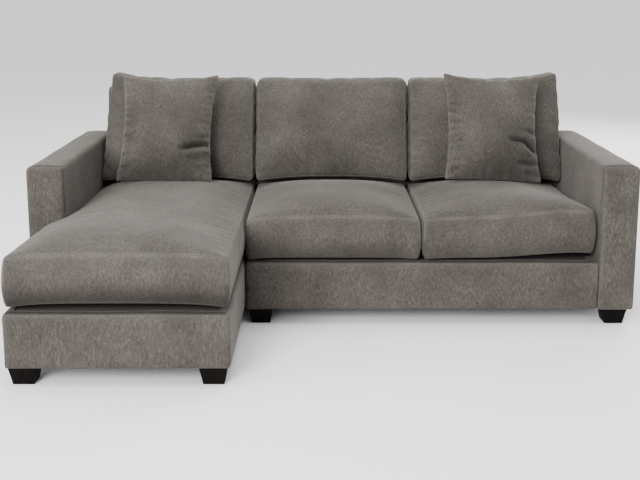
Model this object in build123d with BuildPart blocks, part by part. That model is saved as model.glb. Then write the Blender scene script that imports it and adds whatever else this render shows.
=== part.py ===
"""Two-piece sectional sofa: a chaise section on the left and a loveseat section on the right, hooked
side by side, with loose seat cushions, loose back cushions and two throw pillows.

Millimetres, +Z up. The sofa faces -Y. The origin is on the floor, under the middle of the outline.
"""

from build123d import *
import os
from dataclasses import dataclass
from math import atan2, cos, pi, radians, sin, tan

# Outside of the sofa
overall_width = 2300
sofa_depth = 960  # arm front to outside back
chaise_reach = 600  # chaise base in front of the arm fronts
chaise_overlap = 64  # chaise base past the inner face of its arm
arm_width = 138
arm_height = 618
back_height = 832
back_top_depth = 100
back_rake = 10  # degrees that the inside back leans
base_clearance = 62  # floor to the underside of the base, which is the height of the feet
base_top = 248  # floor to the seat deck
front_setback = 6  # loveseat front behind the arm front
section_gap = 3  # between the covers of the two sections
return_length = 90  # base cover carried round the corner between the sections

# Upholstery on the frame
cover_wall = 14  # padding with its fabric
back_panel = 8  # outside back, thinly padded
front_panel = 16  # panel sewn on an arm's front
cover_lip = 10  # base cover turned over the top of the rails
deck_thickness = 14
dust_cloth = 2
arm_round = 22
back_round = 26
base_round = 20
corner_round = 10
panel_round = 5

# Timber frame
board = 28
stretcher_height = 90
block_size = 70
block_height = 36
lightening_margin = 24  # timber left round the cut-out of an arm upright

# Webbing
webbing = 2.5
strap_width = 60
seat_straps = 4  # front to back under each seat of the loveseat, and across each half of the chaise
cross_straps = 3
back_straps = 4

# Feet
foot_top = 94
foot_bottom = 70
foot_inset = 58  # foot centre from the faces of the base
bolt_radius = 4
bolt_grip = 40  # length of the bolt inside the foot
bolt_play = 0.05
nut_wall = 1.4
nut_flange = 20  # square
nut_flange_height = 1.5
nut_barrel = 12

# Hooks that join the sections
hook_plate = 3
hook_flange = 90
sleeve_width = 60
sleeve_depth = 14
sleeve_height = 60
hook_play = 0.3
tongue_stop = 4  # tongue end above the lower rim of its sleeve
hook_height = 150  # floor to the middle of the sleeve
hook_margin = 40  # first hook behind the end of the base covers
hook_pitch = 320
hook_count = 2

# Loose cushions
soft_gap = 0.4  # between a loose piece and what it rests against
side_gap = 4  # seat cushion to its neighbour
seat_boxing = 158  # height of a seat cushion at its seams
seat_crown_middle = 54
seat_crown_end = 16
crown_run = 375  # length over which the crown swells in from an end
seat_draw = 7
seat_bulge = 3
ear_step = 12
back_gap = 9  # back cushion to the middle of the joint beside it
back_cushion_height = 418
back_foot_depth = 182
back_head_depth = 124
back_crown = 46
back_crown_end = 10
back_draw = 12
back_bulge = 5
end_round = 12
cushion_wall = 9  # cover with its wadding
core_gap = 0.3
pillow_width = 404
pillow_height = 446
pillow_depth = 140
pillow_edge = 5  # thickness of a corner
pillow_draw = 12
pillow_wall = 3
pillow_shift = 26  # left pillow off the middle of its seat
pillow_roll = 2.2  # degrees that the right pillow turns

# Planes that follow from these sizes
arm_face = overall_width / 2 - arm_width
seat_pitch = 2 * arm_face / 3
joint_x = seat_pitch - arm_face
y_back = (chaise_reach + sofa_depth) / 2
y_front = y_back - sofa_depth
y_chaise = y_front - chaise_reach
rake = radians(back_rake)
rail_bottom = base_clearance + dust_cloth
block_top = rail_bottom + block_height
deck_bottom = base_top - deck_thickness
rail_top = deck_bottom - 2 * webbing
y_rear_rail = y_back - back_panel - board
bolt_top = block_top - nut_flange_height
bolt_hole = bolt_radius + bolt_play
barrel_radius = bolt_hole + nut_wall
ceiling = back_height - cover_wall  # top of the space inside the back

os.makedirs("parts", exist_ok=True)


@dataclass
class Section:
    """One half of the sofa, measured from the joint (side -1 has its arm on the left)."""

    name: str
    side: int
    front: float  # front face of the base
    joint: float  # face beside the other section
    arm: float  # inner face of the arm
    outer: float  # base face on the arm side, in front of the arm
    arm_feet: tuple  # places along Y of the feet under the arm

    def x(self, depth):
        """Place at a depth from the joint face towards the arm."""
        return self.joint + self.side * depth

    def inside(self, depth):
        """Place at a depth from the arm's inner face towards the joint."""
        return self.arm - self.side * depth

    def wide(self, depth):
        """Place at a depth from the outer face of the base towards the joint."""
        return self.outer - self.side * depth


rear_foot = y_back - foot_inset
chaise = Section(
    "chaise", -1, y_chaise, joint_x - section_gap / 2, -arm_face, -arm_face - chaise_overlap, (rear_foot,)
)
loveseat = Section(
    "loveseat", 1, y_front + front_setback, joint_x + section_gap / 2, arm_face, arm_face,
    (y_front + foot_inset, rear_foot),
)
sections = (chaise, loveseat)


def save(piece, name):
    """Label a finished piece and write it to its own file."""
    piece.part.label = name
    export_step(piece.part, f"parts/{name}.step")


def block(x_limits, y_limits, z_limits, mode=Mode.ADD):
    """A square-edged block between two limits on each axis."""
    spans = (x_limits, y_limits, z_limits)
    with Locations(tuple(sum(span) / 2 for span in spans)):
        Box(*(abs(span[1] - span[0]) for span in spans), mode=mode)


def is_chaise(section):
    """The chaise base is wider in front of its arm, the loveseat base is a plain rectangle."""
    return section is chaise


def inside_back(z, depth=0):
    """Y of the leaning inside back at a height, at a depth square into it."""
    slope_y = y_back - back_top_depth - (back_height - z) * tan(rake)
    return slope_y + depth / cos(rake)


post_front = inside_back(base_top, cover_wall + webbing)
seat_rail = (post_front - board, post_front)


def nut_seats(places):
    """Cut a hole for each nut's barrel into the part being built, with a recess for its flange."""
    with Locations(*[(x, y, block_top) for x, y in places]):
        Hole(barrel_radius + bolt_play, block_top - base_clearance)
        recess = nut_flange + 2 * bolt_play
        Box(recess, recess, 2 * nut_flange_height, mode=Mode.SUBTRACT)


def base_feet(section):
    """Centres of the feet under the base."""
    places = [(section.x(foot_inset), section.front + foot_inset), (section.x(foot_inset), rear_foot)]
    if is_chaise(section):
        places.append((section.wide(foot_inset), section.front + foot_inset))
    return places


def arm_feet(section):
    """Centres of the feet under the arm."""
    return [(section.inside(-arm_width / 2), y) for y in section.arm_feet]


# Timber frame of each base
for section in sections:
    rail_front = section.front + cover_wall
    behind_rail = rail_front + board
    rail_z = (rail_bottom, rail_top)
    stretcher_z = (rail_bottom, rail_bottom + stretcher_height)
    joint_rail = (section.x(cover_wall), section.x(cover_wall + board))
    arm_rail = (section.arm, section.inside(board))
    front_end = section.wide(cover_wall) if is_chaise(section) else section.arm

    with BuildPart() as front_rail:
        block((joint_rail[0], front_end), (rail_front, behind_rail), rail_z)
    save(front_rail, f"{section.name}_front_rail")

    with BuildPart() as side_rails:
        block(joint_rail, (behind_rail, y_rear_rail), rail_z)
        if is_chaise(section):
            block(arm_rail, (y_front, y_rear_rail), rail_z)
            block((front_end, section.wide(cover_wall + board)), (behind_rail, y_front), rail_z)
        else:
            block(arm_rail, (behind_rail, y_rear_rail), rail_z)
    save(side_rails, f"{section.name}_side_rails")

    with BuildPart() as rear_rails:
        block((joint_rail[1], arm_rail[1]), seat_rail, rail_z)
        block((joint_rail[0], section.arm), (y_rear_rail, y_rear_rail + board), rail_z)
    save(rear_rails, f"{section.name}_rear_rails")

    with BuildPart() as stretchers:
        if is_chaise(section):
            middle = (y_front + seat_rail[0]) / 2
            block((joint_rail[1], section.wide(cover_wall + board)), (y_front - board, y_front), rail_z)
            block((joint_rail[1], arm_rail[1]), (middle - board / 2, middle + board / 2), stretcher_z)
        else:
            middle = (joint_rail[1] + arm_rail[1]) / 2
            block((middle - board / 2, middle + board / 2), (behind_rail, seat_rail[0]), stretcher_z)
    save(stretchers, f"{section.name}_stretchers")

    with BuildPart() as corner_blocks:
        block_x = (joint_rail[1], section.x(cover_wall + board + block_size))
        block(block_x, (behind_rail, behind_rail + block_size), (rail_bottom, block_top))
        block(block_x, (y_rear_rail - block_size, y_rear_rail), (rail_bottom, block_top))
        if is_chaise(section):
            outer_x = (section.wide(cover_wall + board), section.wide(cover_wall + board + block_size))
            block(outer_x, (behind_rail, behind_rail + block_size), (rail_bottom, block_top))
        nut_seats(base_feet(section))
    save(corner_blocks, f"{section.name}_corner_blocks")


def spread(low, high, count):
    """Centres of straps shared out evenly between two limits."""
    pitch = (high - low) / count
    return [low + pitch * (place + 0.5) for place in range(count)]


# Elastic webbing stapled across the rails, and a second layer laid over it
for section in sections:
    lower_z = (rail_top, rail_top + webbing)
    upper_z = (rail_top + webbing, deck_bottom)
    staple = cover_wall + cover_lip
    joint_end = section.x(staple)
    front_end = section.front + staple
    arm_end = section.arm
    ear_end = section.wide(staple)
    inner_front = section.front + cover_wall + board

    with BuildPart() as seat_webbing:
        if is_chaise(section):
            for y in spread(inner_front, y_front - board, seat_straps - 1):
                block((joint_end, ear_end), (y - strap_width / 2, y + strap_width / 2), lower_z)
            for y in spread(y_front, seat_rail[0], seat_straps):
                block((joint_end, arm_end), (y - strap_width / 2, y + strap_width / 2), lower_z)
        else:
            for x in spread(section.x(cover_wall + board), section.inside(board), 2 * seat_straps):
                block((x - strap_width / 2, x + strap_width / 2), (front_end, seat_rail[1]), lower_z)
    save(seat_webbing, f"{section.name}_seat_webbing")

    with BuildPart() as cross_webbing:
        if is_chaise(section):
            for x in spread(section.x(cover_wall + board), section.inside(board), cross_straps):
                block((x - strap_width / 2, x + strap_width / 2), (front_end, seat_rail[1]), upper_z)
        else:
            for y in spread(inner_front, seat_rail[0], cross_straps):
                block((joint_end, arm_end), (y - strap_width / 2, y + strap_width / 2), upper_z)
    save(cross_webbing, f"{section.name}_cross_webbing")

    with BuildPart() as deck_pad:
        deck_z = (deck_bottom, base_top)
        if is_chaise(section):
            block((joint_end, ear_end), (front_end, y_front), deck_z)
            block((joint_end, arm_end), (y_front, post_front), deck_z)
        else:
            block((joint_end, arm_end), (front_end, post_front), deck_z)
    save(deck_pad, f"{section.name}_deck_pad")

# Padded cover round each base, with a lip over the rails, and the dust cloth under it
for section in sections:
    full_z = (base_clearance, base_top)
    frame_z = (base_clearance, rail_top)
    deck_z = (rail_top, base_top)
    staple = cover_wall + cover_lip

    with BuildPart() as base_cover:
        if is_chaise(section):
            far_y = y_front + return_length
            block((section.joint, section.outer), (section.front, y_front), full_z)
            block((section.joint, section.x(staple)), (y_front, far_y), full_z)
            frame_end = section.wide(cover_wall)
            deck_end = section.wide(staple)
        else:
            far_y = section.front + return_length
            block((section.joint, section.arm), (section.front, far_y), full_z)
            frame_end = section.arm
            deck_end = section.arm
        front_edges = base_cover.edges().filter_by(Axis.X).group_by(Axis.Y)[0]
        fillet(front_edges.sort_by(Axis.Z)[-1:], base_round)
        fillet(base_cover.edges().filter_by(Axis.X).group_by(Axis.Y)[0].sort_by(Axis.Z)[:1], corner_round)
        frame_front = section.front + cover_wall
        block((section.x(cover_wall), frame_end), (frame_front, far_y), frame_z, Mode.SUBTRACT)
        block((section.x(staple), deck_end), (section.front + staple, far_y), deck_z, Mode.SUBTRACT)
    save(base_cover, f"{section.name}_base_cover")

    with BuildPart() as dust_cover:
        dust_z = (base_clearance, rail_bottom)
        front_y = section.front + cover_wall
        rear_y = y_back - back_panel
        if is_chaise(section):
            block((section.x(cover_wall), section.wide(cover_wall)), (front_y, y_front), dust_z)
            block((section.x(cover_wall), section.arm), (y_front, rear_y), dust_z)
        else:
            block((section.x(cover_wall), section.arm), (front_y, rear_y), dust_z)
        with Locations(*[(x, y, rail_bottom) for x, y in base_feet(section)]):
            Hole(barrel_radius, dust_cloth)
    save(dust_cover, f"{section.name}_dust_cover")

# Tapered block feet, each on a bolt that screws into a flanged nut
for section in sections:
    places = base_feet(section) + arm_feet(section)

    with BuildPart() as feet:
        for x, y in places:
            with BuildSketch(Plane((x, y, 0))):
                Rectangle(foot_bottom, foot_bottom)
            with BuildSketch(Plane((x, y, base_clearance))):
                Rectangle(foot_top, foot_top)
            loft()
        with Locations(*[(x, y, base_clearance) for x, y in places]):
            Hole(bolt_hole, bolt_grip)
    save(feet, f"{section.name}_feet")

    with BuildPart() as bolts:
        with BuildSketch(Plane.XY.offset(base_clearance - bolt_grip)):
            with Locations(*places):
                Circle(bolt_radius)
        extrude(amount=bolt_top - base_clearance + bolt_grip)
    save(bolts, f"{section.name}_foot_bolts")

    with BuildPart() as nuts:
        with BuildSketch(Plane.XY.offset(bolt_top - nut_barrel)):
            with Locations(*places):
                Circle(barrel_radius)
        extrude(amount=nut_barrel)
        with BuildSketch(Plane.XY.offset(bolt_top)):
            with Locations(*places):
                Rectangle(nut_flange, nut_flange)
        extrude(amount=nut_flange_height)
        with Locations(*[(x, y, block_top) for x, y in places]):
            Hole(bolt_hole)
    save(nuts, f"{section.name}_foot_nuts")

# Arms: plywood uprights between two boards, a padded cover and a panel sewn on the front
for section in sections:
    arm_name = "left_arm" if is_chaise(section) else "right_arm"
    outside = section.inside(-arm_width)
    hollow_x = (section.inside(-cover_wall), section.inside(cover_wall - arm_width))
    hollow_y = (y_front + front_panel, y_back - cover_wall)
    hollow_top = arm_height - cover_wall
    hollow_width = arm_width - 2 * cover_wall
    arm_middle = section.inside(-arm_width / 2)
    upright_z = (block_top, hollow_top - board)

    with BuildPart() as arm_boards:
        block(hollow_x, hollow_y, (base_clearance, block_top))
        block(hollow_x, hollow_y, (hollow_top - board, hollow_top))
        nut_seats(arm_feet(section))
    save(arm_boards, f"{arm_name}_boards")

    with BuildPart() as uprights:
        upright_height = upright_z[1] - upright_z[0]
        ends = (hollow_y[0], (hollow_y[0] + hollow_y[1] - board) / 2, hollow_y[1] - board)
        for y in ends:
            with BuildSketch(Plane.XZ.offset(-y)):
                with Locations((arm_middle, sum(upright_z) / 2)):
                    Rectangle(hollow_width, upright_height)
                    RectangleRounded(
                        hollow_width - 2 * lightening_margin, upright_height - 2 * lightening_margin,
                        lightening_margin, mode=Mode.SUBTRACT,
                    )
            extrude(amount=-board)
    save(uprights, f"{arm_name}_uprights")

    with BuildPart() as arm_cover:
        block((section.arm, outside), (hollow_y[0], y_back), (base_clearance, arm_height))
        fillet(arm_cover.edges().filter_by(Axis.Y).group_by(Axis.Z)[-1], arm_round)
        fillet(arm_cover.faces().sort_by(Axis.Y)[-1].edges().filter_by(Axis.Z), corner_round)
        block(hollow_x, hollow_y, (base_clearance, hollow_top), Mode.SUBTRACT)
    save(arm_cover, f"{arm_name}_cover")

    with BuildPart() as arm_front:
        with BuildSketch(Plane.XZ.offset(-y_front)) as outline:
            with Locations((arm_middle, (base_clearance + arm_height) / 2)):
                Rectangle(arm_width, arm_height - base_clearance)
            fillet(outline.vertices().group_by(Axis.Z)[-1], arm_round)
        extrude(amount=-front_panel)
        fillet(arm_front.faces().sort_by(Axis.Y)[0].edges(), panel_round)
    save(arm_front, f"{arm_name}_front_panel")

# Backs: posts with a cap rail, webbing across their front, and a padded cover over all
for section in sections:
    post_top = ceiling - board
    post_rear = y_back - back_panel
    joint_post = section.x(cover_wall + board)
    arm_post = section.inside(2 * board)
    post_places = [min(x, x + section.side * board) for x in (joint_post, arm_post)]
    if not is_chaise(section):
        post_places.append(sum(post_places) / 2)

    with BuildPart() as posts:
        for x in post_places:
            with BuildSketch(Plane.YZ.offset(x)):
                with BuildLine():
                    Polyline(
                        (post_front, block_top),
                        (y_rear_rail, block_top),
                        (y_rear_rail, rail_top),
                        (post_rear, rail_top),
                        (post_rear, post_top),
                        (inside_back(post_top, cover_wall + webbing), post_top),
                        (post_front, base_top),
                        close=True,
                    )
                make_face()
            extrude(amount=board)
    save(posts, f"{section.name}_back_posts")

    with BuildPart() as cap_rail:
        cap_front = inside_back(ceiling, cover_wall)
        cap_ends = (section.x(cover_wall), section.inside(cover_wall))
        block(cap_ends, (cap_front, post_rear), (post_top, ceiling))
    save(cap_rail, f"{section.name}_back_cap_rail")

    with BuildPart() as back_webbing:
        strap_ends = (joint_post, section.inside(board))
        strap_length = abs(strap_ends[1] - strap_ends[0])
        for z in spread(base_top, post_top, back_straps):
            seat = (sum(strap_ends) / 2, inside_back(z, cover_wall + webbing), z)
            with Locations(Plane(seat, x_dir=(1, 0, 0), z_dir=(0, -cos(rake), sin(rake)))):
                Box(strap_length, strap_width, webbing, align=(Align.CENTER, Align.CENTER, Align.MIN))
    save(back_webbing, f"{section.name}_back_webbing")

    with BuildPart() as back_cover:
        with BuildSketch(Plane.YZ.offset(section.joint)):
            with BuildLine():
                Polyline(
                    (inside_back(base_top), base_top),
                    (inside_back(back_height), back_height),
                    (y_back, back_height),
                    (y_back, base_clearance),
                    (post_rear, base_clearance),
                    (post_rear, base_top),
                    close=True,
                )
            make_face()
        extrude(amount=section.arm - section.joint)
        fillet(back_cover.edges().filter_by(Axis.X).group_by(Axis.Z)[-1], back_round)
        with BuildSketch(Plane.YZ.offset(section.x(cover_wall))):
            with BuildLine():
                Polyline(
                    (inside_back(base_top, cover_wall), base_top),
                    (inside_back(ceiling, cover_wall), ceiling),
                    (post_rear, ceiling),
                    (post_rear, base_top),
                    close=True,
                )
            make_face()
        extrude(amount=section.inside(cover_wall) - section.x(cover_wall), mode=Mode.SUBTRACT)
    save(back_cover, f"{section.name}_back_cover")

# Hooks: sleeves on the loveseat's end rail, and tongues on the chaise that drop into them
sleeve_face = loveseat.x(cover_wall)
tongue_face = chaise.x(cover_wall)
sleeve_z = (hook_height - sleeve_height / 2, hook_height + sleeve_height / 2)
sleeve_x = (sleeve_face - sleeve_depth, sleeve_face)
bore_x = (sleeve_x[0] + hook_plate, sleeve_x[1] - hook_plate)
bore_width = sleeve_width - 2 * hook_plate
first_hook = y_front + front_setback + return_length + hook_margin + hook_flange / 2
hook_places = [first_hook + hook_pitch * number for number in range(hook_count)]

with BuildPart() as sleeves:
    for y in hook_places:
        block(sleeve_x, (y - sleeve_width / 2, y + sleeve_width / 2), sleeve_z)
        flange_x = (sleeve_face - hook_plate, sleeve_face)
        block(flange_x, (y - hook_flange / 2, y + hook_flange / 2), sleeve_z)
        block(bore_x, (y - bore_width / 2, y + bore_width / 2), sleeve_z, Mode.SUBTRACT)
save(sleeves, "hook_sleeves")

with BuildPart() as tongues:
    for y in hook_places:
        half = bore_width / 2 - hook_play
        tongue_x = (bore_x[0] + hook_play, bore_x[1] - hook_play)
        shelf_z = (sleeve_z[1] + hook_play, sleeve_z[1] + hook_play + hook_plate)
        plate_x = (tongue_face, tongue_face + hook_plate)
        block(plate_x, (y - hook_flange / 2, y + hook_flange / 2), (sleeve_z[0], shelf_z[1]))
        block((tongue_face, tongue_x[1]), (y - half, y + half), shelf_z)
        block(tongue_x, (y - half, y + half), (sleeve_z[0] + tongue_stop, shelf_z[1]))
save(tongues, "hook_tongues")


def crowned_face(plane, left, right, low, high, crown, bulge):
    """Section of a cushion: a flat underside, swelling sides and a crowned top."""
    middle = (left + right) / 2
    level = (low + high) / 2
    with BuildSketch(plane) as outline:
        with BuildLine():
            Line((left, low), (right, low))
            ThreePointArc((right, low), (right + bulge, level), (right, high))
            ThreePointArc((right, high), (middle, high + crown), (left, high))
            ThreePointArc((left, high), (left - bulge, level), (left, low))
        make_face()
    return outline.sketch.faces()[0]


# Seat cushions: flat blocks of foam in boxed covers that are crowned with wadding
seat_front = y_front + front_setback
seat_back = inside_back(base_top) - soft_gap
seat_seam = base_top + seat_boxing
room = side_gap / 2 + seat_bulge


def crown_rise(y, front, back):
    """Height of a seat's crown above its seams, which swells in from the front and from the back."""
    reach = min(1, min(y - front, back - y) / crown_run)
    return seat_crown_end + (seat_crown_middle - seat_crown_end) * sin(pi / 2 * reach)


def seat_surface(y, aside=0):
    """Height of a seat at a place along it, at a distance aside from its middle."""
    across = 1 - (2 * aside / (seat_pitch - 2 * room)) ** 2
    return seat_seam + across * crown_rise(y, seat_front, seat_back)


def between(low, high, shares):
    """Places at shares of the way between two limits."""
    return [low + (high - low) * share for share in shares]


def seat_inside(wall, mode, front, back, left, right, ear_left=None, ear_back=None):
    """Blocks that fill a seat cushion up to its seams, with a wall left all round."""
    inset = seat_draw + wall
    level = (base_top + soft_gap + wall, seat_seam - wall)
    block((left + inset, right - inset), (front + wall, back - wall), level, mode)
    if ear_back is not None:
        block((ear_left + inset, left + inset), (front + wall, ear_back - wall), level, mode)


def seat_faces(front, back, left, right, ear_left=None, ear_back=None):
    """Sections of a seat cushion from front to back."""
    ends = (front, front + end_round, back - end_round, back)
    if ear_back is None:
        places = between(ends[1], ends[2], (0.15, 0.35, 0.5, 0.65, 0.85))
        ear_end = ()
    else:
        ear_end = (ear_back, ear_back + ear_step)
        places = between(ends[1], ear_back, (0.3, 0.65, 1)) + between(ear_end[1], ends[2], (0, 0.3, 0.6))
    faces = []
    for y in (*ends[:2], *places, *ends[2:]):
        drawn = end_round if y in (front, back) else 0
        pull = seat_draw * sin(pi * (y - front) / (back - front)) + drawn
        side = ear_left if ear_end and y <= ear_back else left
        faces.append(crowned_face(
            Plane.XZ.offset(-y), side + pull, right - pull, base_top + soft_gap + drawn / 2,
            seat_seam - drawn, crown_rise(y, front, back), seat_bulge,
        ))
    return faces


first_seam = joint_x
second_seam = joint_x + seat_pitch
seats = {
    "chaise": dict(
        front=y_chaise + front_setback, back=seat_back, left=-arm_face + room, right=first_seam - room,
        ear_left=chaise.outer + room, ear_back=y_front - side_gap - ear_step,
    ),
    "middle": dict(front=seat_front, back=seat_back, left=first_seam + room, right=second_seam - room),
    "right": dict(front=seat_front, back=seat_back, left=second_seam + room, right=arm_face - room),
}
for name, seat in seats.items():
    with BuildPart() as seat_core:
        seat_inside(cushion_wall + core_gap, Mode.ADD, **seat)
    save(seat_core, f"{name}_seat_core")

    with BuildPart() as seat_cover:
        loft(seat_faces(**seat), ruled=True)
        seat_inside(cushion_wall, Mode.SUBTRACT, **seat)
    save(seat_cover, f"{name}_seat_cover")

# Back cushions: fibre fillings in covers that lean on the inside back and stand on the seats
back_foot = seat_surface(inside_back(seat_seam) - back_foot_depth) + soft_gap


def back_front(share):
    """Y of a back cushion's front seams at a share of its height."""
    z = back_foot + share * back_cushion_height
    return inside_back(z) - soft_gap - back_foot_depth + share * (back_foot_depth - back_head_depth)


def back_inside(wall, mode, left, right):
    """Wedge that fills a back cushion up to its front seams, with a wall left all round."""
    inset = back_draw + wall
    ends = []
    for share in (wall / back_cushion_height, 1 - wall / back_cushion_height):
        z = back_foot + share * back_cushion_height
        ends.append([(back_front(share) + wall, z), (inside_back(z) - soft_gap - wall, z)])
    with BuildSketch(Plane.YZ.offset(left + inset)) as side:
        with BuildLine():
            Polyline(*ends[0], *reversed(ends[1]), close=True)
        make_face()
    extrude(side.sketch.faces()[0], amount=right - left - 2 * inset, mode=mode)


def back_faces(left, right):
    """Level sections of a back cushion, from its foot to its head."""
    faces = []
    rounded = end_round / back_cushion_height
    shares = (0, rounded, 0.2, 0.4, 0.5, 0.6, 0.8, 1 - rounded, 1)
    for share in shares:
        z = back_foot + share * back_cushion_height
        drawn = end_round if share in (0, 1) else 0
        pull = back_draw * sin(pi * share) + drawn
        plane = Plane((0, 0, z), x_dir=(1, 0, 0), z_dir=(0, 0, -1))
        rear = -inside_back(z) + soft_gap
        front = -back_front(share) - drawn
        crown = back_crown_end + (back_crown - back_crown_end) * sin(pi * share)
        faces.append(crowned_face(plane, left + pull, right - pull, rear, front, crown, back_bulge))
    return faces


back_room = back_gap + back_bulge
backs = {
    "left": (-arm_face + back_room, first_seam - back_room),
    "middle": (first_seam + back_room, second_seam - back_room),
    "right": (second_seam + back_room, arm_face - back_room),
}
for name, (left, right) in backs.items():
    with BuildPart() as back_fill:
        back_inside(cushion_wall + core_gap, Mode.ADD, left, right)
    save(back_fill, f"{name}_back_fill")

    with BuildPart() as back_cushion:
        loft(back_faces(left, right), ruled=True)
        back_inside(cushion_wall, Mode.SUBTRACT, left, right)
    save(back_cushion, f"{name}_back_cushion")

# Throw pillows: plain knife-edged covers over fibre inserts, leaning on the outer back cushions
lean = atan2(back_front(1) - back_front(0), back_cushion_height)
pillow_reach = back_crown + (pillow_depth / 2 + soft_gap) / cos(lean)


def pillow_plane(x, roll, seat_middle):
    """Middle plane of a pillow whose lower edge rests on the crown of the seat, facing forwards."""
    y = back_front(0) - pillow_reach
    for _ in range(3):
        heights = []
        for aside in between(-pillow_width / 2, pillow_width / 2, (0, 0.2, 0.35, 0.5, 0.65, 0.8, 1)):
            heights.append(seat_surface(y, x + aside - seat_middle) + aside * sin(roll))
        z = max(heights) + soft_gap + pillow_edge / 2 * sin(lean)
        y = back_front(0) + (z - back_foot) * tan(lean) - pillow_reach
    rise = Vector(sin(roll), cos(roll) * sin(lean), cos(roll) * cos(lean))
    across = Vector(cos(roll), -sin(roll) * sin(lean), -sin(roll) * cos(lean))
    centre = Vector(x, y, z) + rise * (pillow_height / 2)
    return Plane(centre, x_dir=across, z_dir=across.cross(rise))


def lens_face(plane, half, deep):
    """Lens between two arcs along the plane's X."""
    with BuildSketch(plane) as lens:
        with BuildLine():
            ThreePointArc((-half, 0), (0, -deep), (half, 0))
            ThreePointArc((half, 0), (0, deep), (-half, 0))
        make_face()
    return lens.sketch.faces()[0]


def pillow_vault(middle, half_x, half_y, deep):
    """Two crossed lenses, which leave a crown in the middle and a thin edge all round."""
    with BuildPart(mode=Mode.PRIVATE) as vault:
        upright = Plane(middle.origin, x_dir=middle.y_dir, z_dir=middle.x_dir)
        level = Plane(middle.origin, x_dir=middle.x_dir, z_dir=middle.y_dir)
        extrude(lens_face(upright, half_y, deep), amount=half_x, both=True)
        extrude(lens_face(level, half_x, deep), amount=half_y, both=True, mode=Mode.INTERSECT)
    return vault.part


def pillow_outline(middle):
    """Outline of a pillow, drawn in between its corners except where it stands."""
    half_x = pillow_width / 2
    half_y = pillow_height / 2
    with BuildSketch(middle) as outline:
        with BuildLine():
            ThreePointArc((half_x, -half_y), (half_x - pillow_draw, 0), (half_x, half_y))
            ThreePointArc((half_x, half_y), (0, half_y - pillow_draw), (-half_x, half_y))
            ThreePointArc((-half_x, half_y), (pillow_draw - half_x, 0), (-half_x, -half_y))
            Line((-half_x, -half_y), (half_x, -half_y))
        make_face()
    return outline.sketch.faces()[0]


def pillow_inside(middle, wall):
    """Filling of a pillow, with a wall left all round."""
    inset = pillow_draw + wall
    return pillow_vault(middle, pillow_width / 2 - inset, pillow_height / 2 - inset, pillow_depth / 2 - wall)


outer_seat = seat_pitch
pillows = {
    "left": (-outer_seat - pillow_shift, 0, -outer_seat),
    "right": (outer_seat, radians(pillow_roll), outer_seat),
}
for name, pillow_place in pillows.items():
    middle = pillow_plane(*pillow_place)

    with BuildPart() as insert:
        add(pillow_inside(middle, pillow_wall + core_gap))
    save(insert, f"{name}_pillow_insert")

    with BuildPart() as pillow:
        spread_out = (1 - pillow_edge / pillow_depth) ** -0.5
        half_x = pillow_width / 2 * spread_out
        half_y = pillow_height / 2 * spread_out
        add(pillow_vault(middle, half_x, half_y, pillow_depth / 2))
        extrude(pillow_outline(middle), amount=pillow_depth, both=True, mode=Mode.INTERSECT)
        add(pillow_inside(middle, pillow_wall), mode=Mode.SUBTRACT)
    save(pillow, f"{name}_throw_pillow")
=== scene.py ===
"""Two-piece sectional sofa in grey-taupe velvet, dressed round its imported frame."""

import math

import bpy
import numpy as np
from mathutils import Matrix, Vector


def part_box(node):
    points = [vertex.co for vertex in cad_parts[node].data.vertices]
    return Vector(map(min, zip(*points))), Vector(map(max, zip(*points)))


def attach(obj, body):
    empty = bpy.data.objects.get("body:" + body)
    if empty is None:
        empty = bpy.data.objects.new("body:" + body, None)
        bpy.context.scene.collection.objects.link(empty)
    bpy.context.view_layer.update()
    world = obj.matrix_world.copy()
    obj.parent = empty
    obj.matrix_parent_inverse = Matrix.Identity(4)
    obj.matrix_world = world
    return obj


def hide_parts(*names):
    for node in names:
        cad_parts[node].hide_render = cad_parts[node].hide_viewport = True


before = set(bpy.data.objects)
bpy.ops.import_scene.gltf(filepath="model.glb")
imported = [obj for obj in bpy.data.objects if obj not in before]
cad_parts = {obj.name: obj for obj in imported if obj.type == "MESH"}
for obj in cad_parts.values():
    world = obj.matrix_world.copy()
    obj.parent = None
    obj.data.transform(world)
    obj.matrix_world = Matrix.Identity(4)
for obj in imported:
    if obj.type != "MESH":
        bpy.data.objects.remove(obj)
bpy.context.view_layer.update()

# Timber of the base and back frames.
# Sawn softwood rails, posts, stretchers and corner blocks, glued and stapled together.
# They are hidden by the covers, so the solids of the frame stay and get a sawn-pine finish.


def new_look(name):
    """An empty procedural material, with its nodes, links, shader and object coordinates."""
    look = bpy.data.materials.new(name)
    look.use_nodes = True
    nodes = look.node_tree.nodes
    links = look.node_tree.links
    shader = nodes["Principled BSDF"]
    place = nodes.new("ShaderNodeTexCoord").outputs["Object"]
    return look, nodes, links, shader, place


def stretched(nodes, links, place, scale):
    """Coordinates drawn out along the axes, for grain and nap."""
    mapping = nodes.new("ShaderNodeMapping")
    mapping.inputs["Scale"].default_value = scale
    links.new(place, mapping.inputs["Vector"])
    return mapping.outputs["Vector"]


def noise(nodes, links, place, scale, detail=3.0, roughness=0.55):
    """Cloudy pattern from 0 to 1."""
    texture = nodes.new("ShaderNodeTexNoise")
    texture.inputs["Scale"].default_value = scale
    texture.inputs["Detail"].default_value = detail
    texture.inputs["Roughness"].default_value = roughness
    links.new(place, texture.inputs["Vector"])
    return texture.outputs["Fac"]


def ramp(nodes, links, value, stops):
    """Colours along a value, given as (place, (red, green, blue))."""
    band = nodes.new("ShaderNodeValToRGB")
    elements = band.color_ramp.elements
    while len(elements) < len(stops):
        elements.new(0.5)
    for element, (at, colour) in zip(elements, stops):
        element.position = at
        element.color = (*colour, 1)
    links.new(value, band.inputs["Fac"])
    return band.outputs["Color"]


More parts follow.
